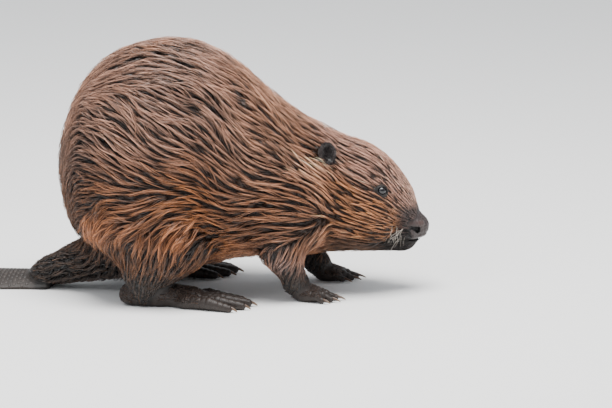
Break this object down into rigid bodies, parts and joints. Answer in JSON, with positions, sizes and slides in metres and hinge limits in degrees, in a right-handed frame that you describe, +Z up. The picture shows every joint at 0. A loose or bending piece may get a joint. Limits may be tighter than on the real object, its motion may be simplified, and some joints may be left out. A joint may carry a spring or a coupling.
{
  "type": "beaver",
  "caption": "Life-size still model of a furred beaver, back humped and head low as when wading to feed, with webbed hind feet and a flat scaly tail laid on the floor behind it.",
  "frame": {"origin": "on the floor, under the middle of the whole length and width", "axes": "+X forward to the nose, +Y to the animal's left, +Z up"},
  "size_m": [0.7628, 0.2945, 0.334],
  "materials": {
    "fur": "wet brown guard hair in pointed locks, with a soft sheen and dark gaps between the locks",
    "bare_skin": "damp blackish bare skin, finely wrinkled and pebbled",
    "eye": "wet and glossy, near black",
    "tail_scales": "dark grey-brown leathery scales with fine grooves between them",
    "claw": "smooth dark brown horn"
  },
  "bodies": {
    "root": {"trunk": "fur", "neck": "fur", "head": "fur", "lower_jaw": "fur", "nose": "bare_skin", "eye_left": "eye", "eye_right": "eye", "ear_left": "fur", "ear_right": "fur", "front_leg_left": "fur", "front_leg_right": "fur", "front_foot_left": "bare_skin", "front_foot_right": "bare_skin", "hind_leg_left": "fur", "hind_leg_right": "fur", "hind_foot_left": "bare_skin", "hind_foot_right": "bare_skin", "tail_base": "fur", "tail": "tail_scales", "front_claw_left_1": "claw", "front_claw_left_2": "claw", "front_claw_left_3": "claw", "front_claw_left_4": "claw", "front_claw_left_5": "claw", "front_claw_right_1": "claw", "front_claw_right_2": "claw", "front_claw_right_3": "claw", "front_claw_right_4": "claw", "front_claw_right_5": "claw", "hind_claw_left_1": "claw", "hind_claw_left_2": "claw", "hind_claw_left_3": "claw", "hind_claw_left_4": "claw", "hind_claw_left_5": "claw", "hind_claw_right_1": "claw", "hind_claw_right_2": "claw", "hind_claw_right_3": "claw", "hind_claw_right_4": "claw", "hind_claw_right_5": "claw"}
  },
  "joints": []
}
